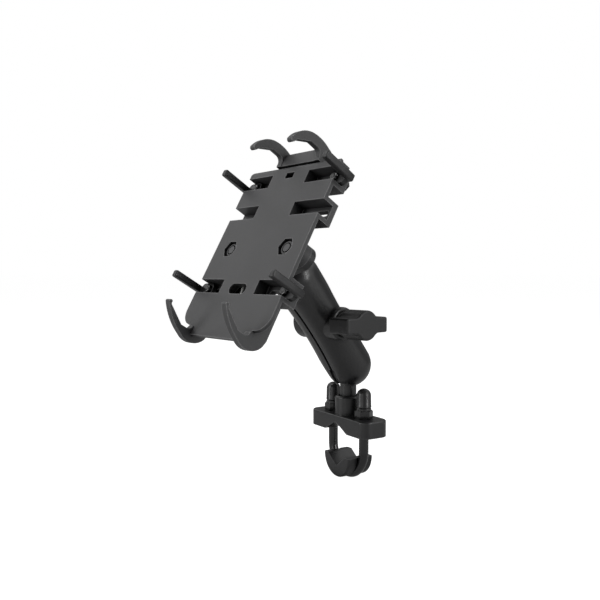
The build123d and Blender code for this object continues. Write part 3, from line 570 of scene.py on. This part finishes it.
def thread_tree(material):
    """Cylinder about z, in millimetres, whose side is cut to a right-hand thread."""
    tree, size = new_tree("screw_thread", ("Radius", "Depth", "Pitch", "Length"))
    turns = add(tree, "ShaderNodeMath", {0: size["Length"], 1: size["Pitch"]}, operation="DIVIDE")
    steps = add(tree, "ShaderNodeMath", {0: turns.outputs[0], 1: 8.0}, operation="MULTIPLY")
    rod = add(tree, "GeometryNodeMeshCylinder",
              {"Vertices": 32, "Side Segments": steps.outputs[0], "Radius": size["Radius"],
               "Depth": size["Length"]})
    spot = add(tree, "GeometryNodeInputPosition")
    x, y, z = add(tree, "ShaderNodeSeparateXYZ", {0: spot.outputs[0]}).outputs
    angle = add(tree, "ShaderNodeMath", {0: y, 1: x}, operation="ARCTAN2")
    turn = add(tree, "ShaderNodeMath", {0: angle.outputs[0], 1: math.tau}, operation="DIVIDE")
    climb = add(tree, "ShaderNodeMath", {0: z, 1: size["Pitch"]}, operation="DIVIDE")
    phase = add(tree, "ShaderNodeMath", {0: climb.outputs[0], 1: turn.outputs[0]},
                operation="SUBTRACT")
    wave = add(tree, "ShaderNodeMath", {0: phase.outputs[0], 1: 0.5}, operation="PINGPONG")
    depth = add(tree, "ShaderNodeMath", {0: wave.outputs[0], 1: size["Depth"]},
                operation="MULTIPLY")
    share = add(tree, "ShaderNodeMath", {0: depth.outputs[0], 1: size["Radius"]},
                operation="DIVIDE")
    keep = add(tree, "ShaderNodeMath", {0: share.outputs[0], 1: -2.0, 2: 1.0},
               operation="MULTIPLY_ADD")
    narrow = add(tree, "ShaderNodeCombineXYZ",
                 {0: keep.outputs[0], 1: keep.outputs[0], 2: 1.0})
    moved = add(tree, "ShaderNodeVectorMath", {0: spot.outputs[0], 1: narrow.outputs[0]},
                operation="MULTIPLY")
    threaded = add(tree, "GeometryNodeSetPosition",
                   {"Geometry": rod.outputs["Mesh"], "Position": moved.outputs[0]})
    close_tree(tree, threaded.outputs["Geometry"], material)
    return tree


def grown(tree, sizes, places, name, body, material, replaced=(), sharp=40):
    """Run a tree once for its sizes and set copies at the places, joined as one plain mesh."""
    holder = bpy.data.objects.new(name + "_draft", bpy.data.meshes.new(name + "_draft"))
    bpy.context.collection.objects.link(holder)
    grow = holder.modifiers.new("grow", "NODES")
    grow.node_group = tree
    for item in tree.interface.items_tree:
        if item.in_out == "INPUT":
            grow[item.identifier] = float(sizes[item.name])
    one = frozen(holder)
    work = bmesh.new()
    for place in places:
        copy = one.copy()
        copy.transform(place)
        work.from_mesh(copy)
    return build_mesh(work, name, body, material, replaced, sharp)


# %% U-bolt
BEND_Z = -10.3
ROD_R = 2.9
THREAD_LOW = 2.0
THREAD_PITCH = 0.794
THREAD_DEPTH = 0.36
LEG_TOP = 17.0
ROD_SIDES = 32
BEND_STEPS = 48
LEG_THREAD = thread_tree(BLACK_ZINC)
grown(LEG_THREAD, {"Radius": ROD_R - 0.01, "Depth": THREAD_DEPTH, "Pitch": THREAD_PITCH,
                   "Length": LEG_TOP - THREAD_LOW},
      [UPRIGHT @ shift(x, 0, (LEG_TOP + THREAD_LOW) / 2) for x in (-LEG_X, LEG_X)],
      "u_bolt_threads", "ubolt", BLACK_ZINC)


circle = [(ROD_R * math.cos(math.tau * i / ROD_SIDES), ROD_R * math.sin(math.tau * i / ROD_SIDES))
          for i in range(ROD_SIDES)]
bend = [(Vector((-LEG_X, 0, THREAD_LOW)), Vector((1, 0, 0)), Vector((0, 1, 0)))]
for i in range(BEND_STEPS + 1):
    angle = math.pi * (1 + i / BEND_STEPS)
    out = Vector((math.cos(angle), 0, math.sin(angle)))
    bend.append((Vector((0, 0, BEND_Z)) + out * LEG_X, -out, Vector((0, 1, 0))))
bend.append((Vector((LEG_X, 0, THREAD_LOW)), Vector((-1, 0, 0)), Vector((0, 1, 0))))
work = bmesh.new()
stood = [(UPRIGHT @ m, UPRIGHT.to_3x3() @ s, UPRIGHT.to_3x3() @ u) for m, s, u in bend]
swept(work, stood, circle, [1.0] * len(bend))
build_mesh(work, "u_bolt_bend", "ubolt", BLACK_ZINC, ["u_bolt"])
print("U-bolt ready")

# %% [markdown]
# ## Springs
#
# A coil spring is a spiral with a round wire swept along it. The same tree winds the strong
# spring that parts the arm's halves and the two slim ones that pull the carriage down. The
# slim ones are drawn close-wound, without the loops at their ends.

# %% Spring tree
def spring_tree(material):
    """Coil about z from z = 0, in millimetres."""
    tree, size = new_tree("coil_spring", ("Coil radius", "Wire radius", "Height", "Turns"))
    coil = add(tree, "GeometryNodeCurveSpiral",
               {"Resolution": 24, "Rotations": size["Turns"], "Start Radius": size["Coil radius"],
                "End Radius": size["Coil radius"], "Height": size["Height"]})
    wire = add(tree, "GeometryNodeCurvePrimitiveCircle",
               {"Resolution": 10, "Radius": size["Wire radius"]})
    body = add(tree, "GeometryNodeCurveToMesh",
               {"Curve": coil.outputs["Curve"], "Profile Curve": wire.outputs["Curve"],
                "Fill Caps": True})
    close_tree(tree, body.outputs["Mesh"], material)
    return tree


COIL = spring_tree(STAINLESS)
ARM_CROSS = plane(BOLT_MIDDLE, ALONG_ARM, (1, 0, 0))
ARM_COIL_H = 16.4
grown(COIL, {"Coil radius": 4.4, "Wire radius": 0.6, "Height": ARM_COIL_H, "Turns": 6.5},
      [ARM_CROSS @ shift(0, 0, -ARM_COIL_H / 2)], "arm_spring_coil", "arm", STAINLESS,
      ["clamp_spring"], 60)
SPRING_X = 3.6
SPRING_LOW = -34.6
SPRING_W = -6.1
stand_up = Matrix.Rotation(math.radians(-90), 4, "X")
grown(COIL, {"Coil radius": 1.0, "Wire radius": 0.28, "Height": 22.0, "Turns": 32.0},
      [CRADLE @ shift(x, SPRING_LOW, SPRING_W) @ stand_up for x in (-SPRING_X, SPRING_X)],
      "carriage_spring_coils", "holder", STAINLESS, ["carriage_springs"], 60)
print("springs ready")

# %% [markdown]
# ## Finger sleeves
#
# Each side finger stands in a rubber sleeve: a bar with soft corners and a shallow groove
# down its outer and inner faces, closed by a rounded tip. It is an outline swept along the
# finger. A scale for each ring draws in the first two and the last four.

# %% Finger sleeves
FINGER_X = 43.7
TIP_W = 14.7
HEEL_W = -7.5
HALF_A = 1.92
HALF_B = 2.1
CORNER_POWER = 0.4
GROOVE_HALF = 0.9
GROOVE_DEPTH = 0.16
OUTLINE_POINTS = 48


def sleeve_outline():
    """Rounded bar 3.8 by 4.2 mm with a groove on its outer and inner faces."""
    points = []
    for i in range(OUTLINE_POINTS):
        angle = math.tau * i / OUTLINE_POINTS
        c, s = math.cos(angle), math.sin(angle)
        a = HALF_A * math.copysign(abs(c) ** CORNER_POWER, c)
        b = HALF_B * math.copysign(abs(s) ** CORNER_POWER, s)
        if abs(b) < GROOVE_HALF:
            a -= math.copysign(GROOVE_DEPTH, a)
        points.append((a, b))
    return points


def sleeve_path(side, row):
    """Frames from the heel up to the tip."""
    rise = (HEEL_W, HEEL_W + 0.1, HEEL_W + 0.4, 2.0, 8.0, TIP_W - 1.0, TIP_W - 0.6, TIP_W - 0.3,
            TIP_W - 0.1, TIP_W)
    turn = CRADLE.to_3x3()
    return [(CRADLE @ Vector((side * FINGER_X, row, w)), turn @ Vector((side, 0, 0)),
             turn @ Vector((0, 1, 0))) for w in rise]


SLEEVE_SCALES = (0.8, 0.92, 1.0, 1.0, 1.0, 1.0, 0.97, 0.9, 0.77, 0.55)
for row, height in ROWS.items():
    for side, sign in SIDES.items():
        work = bmesh.new()
        swept(work, sleeve_path(sign, height), sleeve_outline(), SLEEVE_SCALES)
        build_mesh(work, f"finger_rubber_{row}_{side}", f"arm_{row}_{side}", NITRILE,
                   [f"finger_sleeve_{row}_{side}"], 50)
print("sleeves ready")

# %% [markdown]
# ## Screw heads and nuts on the cradle
#
# The side arms are held by pan-head screws with a hexagon socket, which is the last two
# rings: its rim, and the same hexagon lower down, closed by its floor. The adapter's two
# screws end in lock nuts sunk in the tray's face. Each nut has a round collar of dark steel,
# and the tip of its screw shows inside the collar.

# %% Cradle screws
def pan_head(work, place, radius, height, socket):
    """Domed head standing on z = 0, with a hexagon socket."""
    rings(work, place, [(0, WIDE, radius * 0.96), (height * 0.1, WIDE, radius),
                        (height * 0.45, WIDE, radius), (height * 0.75, WIDE, radius * 0.9),
                        (height * 0.93, WIDE, radius * 0.72), (height, WIDE, radius * 0.56),
                        (height, socket, socket * 1.155), (height * 0.35, socket, socket * 1.155)])


ARM_SCREW_X = 34.0
ARM_SCREW_TURN = 10
FOOT_TOP = -4.35
for row, height in ROWS.items():
    for side, sign in SIDES.items():
        at = CRADLE @ shift(sign * ARM_SCREW_X, height, FOOT_TOP, ARM_SCREW_TURN)
        work = bmesh.new()
        pan_head(work, at, 2.7, 1.8, 1.0)
        build_mesh(work, f"arm_screw_head_{row}_{side}", f"arm_{row}_{side}",
                   BLACK_ZINC)

ADAPTER_SCREW_X = 24.28
POCKET_FLOOR = -6.2
SCREW_BORE = 2.44
work = bmesh.new()
tails = bmesh.new()
for x in (-ADAPTER_SCREW_X, ADAPTER_SCREW_X):
    at = CRADLE @ shift(x, 0, POCKET_FLOOR)
    rings(work, at, [(0, NUT_FLAT, 4.95), (0.4, NUT_FLAT, NUT_CORNER),
                     (3.1, NUT_FLAT, NUT_CORNER), (3.6, NUT_FLAT, 4.8),
                     (3.6, WIDE, SCREW_BORE), (0, WIDE, SCREW_BORE)], closed=True)
    rings(tails, at, [(3.5, WIDE, 4.2), (4.7, WIDE, 4.2), (5.1, WIDE, 3.9), (5.2, WIDE, 3.5),
                      (5.1, WIDE, 3.1), (4.2, WIDE, 2.9), (3.5, WIDE, 2.9)], closed=True)
    rings(tails, at, [(3.5, WIDE, 2.38), (4.5, WIDE, 2.38), (4.9, WIDE, 1.9), (4.9, WIDE, 0.9),
                      (4.5, WIDE, 0.6)])
build_mesh(work, "adapter_nut_detail", "holder", BLACK_ZINC,
           ["adapter_lock_nuts"], NUT_SHARP)
build_mesh(tails, "adapter_nut_collars", "holder", DARK_STEEL)
print("screw heads ready")

# %% [markdown]
# ## Studio
#
# The mount stands on a wide pale floor. Soft boxes to the left and front light the cradle's
# face, a tall strip on the right draws the long light bands on the arm, and one from above
# picks out the upper edges. The background is white to the camera, while black flags around
# the set keep it dim in reflections, so that the black parts stay black.

# %% Floor and world
FLAGGED = 0.14


def background_share(tree):
    """How white the background is for a ray: 1 for the camera, less in reflections."""
    path = add(tree, "ShaderNodeLightPath")
    direct = add(tree, "ShaderNodeMath",
                 {0: path.outputs["Is Camera Ray"], 1: path.outputs["Is Transmission Ray"]},
                 operation="MAXIMUM")
    mirrored = add(tree, "ShaderNodeMath", {0: path.outputs["Is Glossy Ray"], 1: FLAGGED},
                   operation="MULTIPLY")
    share = add(tree, "ShaderNodeMath", {0: direct.outputs[0], 1: mirrored.outputs[0]},
                operation="MAXIMUM")
    return share.outputs[0]


def pale_paper(name, colour, glow):
    """Matte floor that also glows for the rays that show the background."""
    material, tree, out, place = new_material(name)
    share = background_share(tree)
    matte = add(tree, "ShaderNodeBsdfDiffuse", {"Color": linear(colour)})
    strength = add(tree, "ShaderNodeMath", {0: share, 1: glow}, operation="MULTIPLY")
    light = add(tree, "ShaderNodeEmission",
                {"Color": (1, 1, 1, 1), "Strength": strength.outputs[0]})
    both = add(tree, "ShaderNodeAddShader", {0: matte.outputs[0], 1: light.outputs[0]})
    tree.links.new(both.outputs[0], out.inputs["Surface"])
    return material


FLOOR_Z = cad_bounds[0][2]
REACH = 60.0
floor_mesh = bpy.data.meshes.new("studio_floor")
floor_mesh.from_pydata([(-REACH, -REACH, FLOOR_Z), (REACH, -REACH, FLOOR_Z),
                        (REACH, REACH, FLOOR_Z), (-REACH, REACH, FLOOR_Z)], [], [(0, 1, 2, 3)])
floor = bpy.data.objects.new("studio_floor", floor_mesh)
bpy.context.collection.objects.link(floor)
floor_mesh.materials.append(pale_paper("pale_paper", "#b4b4b4", 0.965))

world = bpy.data.worlds.new("studio")
bpy.context.scene.world = world
world.use_nodes = True
world.node_tree.nodes.clear()
sky = world.node_tree
room = add(sky, "ShaderNodeBackground", {"Color": (1, 1, 1, 1), "Strength": 0.07})
white = add(sky, "ShaderNodeBackground", {"Color": (1, 1, 1, 1), "Strength": 1.0})
blend = add(sky, "ShaderNodeMixShader",
            {0: background_share(sky), 1: room.outputs[0], 2: white.outputs[0]})
add(sky, "ShaderNodeOutputWorld", {"Surface": blend.outputs[0]})
print("floor at", round(FLOOR_Z, 4))

# %% Lamps and camera
CENTRE = Vector((0, -0.04, 0.07))


def soft_box(name, azimuth, elevation, distance, width, height, watts):
    """Area lamp that faces the object. Azimuth 0 is the -Y side, 90 is the +X side."""
    lamp = bpy.data.lights.new(name, "AREA")
    lamp.shape = "RECTANGLE"
    lamp.size = width
    lamp.size_y = height
    lamp.energy = watts
    box = bpy.data.objects.new(name, lamp)
    bpy.context.collection.objects.link(box)
    a, e = math.radians(azimuth), math.radians(elevation)
    way = Vector((math.sin(a) * math.cos(e), -math.cos(a) * math.cos(e), math.sin(e)))
    box.location = CENTRE + way * distance
    box.rotation_euler = (-way).to_track_quat("-Z", "Y").to_euler()
    return box


soft_box("left_wall", -82, 32, 1.0, 0.9, 0.7, 1.5)
soft_box("front_left", -26, 12, 1.0, 0.36, 0.9, 5.2)
soft_box("front", 16, 14, 1.0, 0.5, 0.9, 1.8)
soft_box("strip_right", 101, 10, 1.0, 0.16, 1.1, 5.5)
soft_box("side_right", 128, 18, 1.0, 0.6, 1.0, 1.5)
soft_box("overhead", -30, 70, 0.9, 0.6, 0.4, 3.2)
soft_box("back", 168, 45, 1.1, 0.7, 0.5, 1.1)

CAMERA_PLACE = Vector((0.30096, -0.30374, 0.0960))
CAMERA_WAY = Vector((-0.7509, 0.6595, -0.0380))
camera_data = bpy.data.cameras.new("camera")
camera_data.lens = 41.89
camera_data.sensor_width = 36.0
camera_data.clip_start = 0.01
camera_data.clip_end = 200.0
camera = bpy.data.objects.new("camera", camera_data)
camera.location = CAMERA_PLACE
camera.rotation_euler = CAMERA_WAY.to_track_quat("-Z", "Y").to_euler()
bpy.context.collection.objects.link(camera)
bpy.context.scene.camera = camera
bpy.context.scene.view_settings.view_transform = "Standard"
print("camera", round((CAMERA_PLACE - CENTRE).length, 3), "m away")
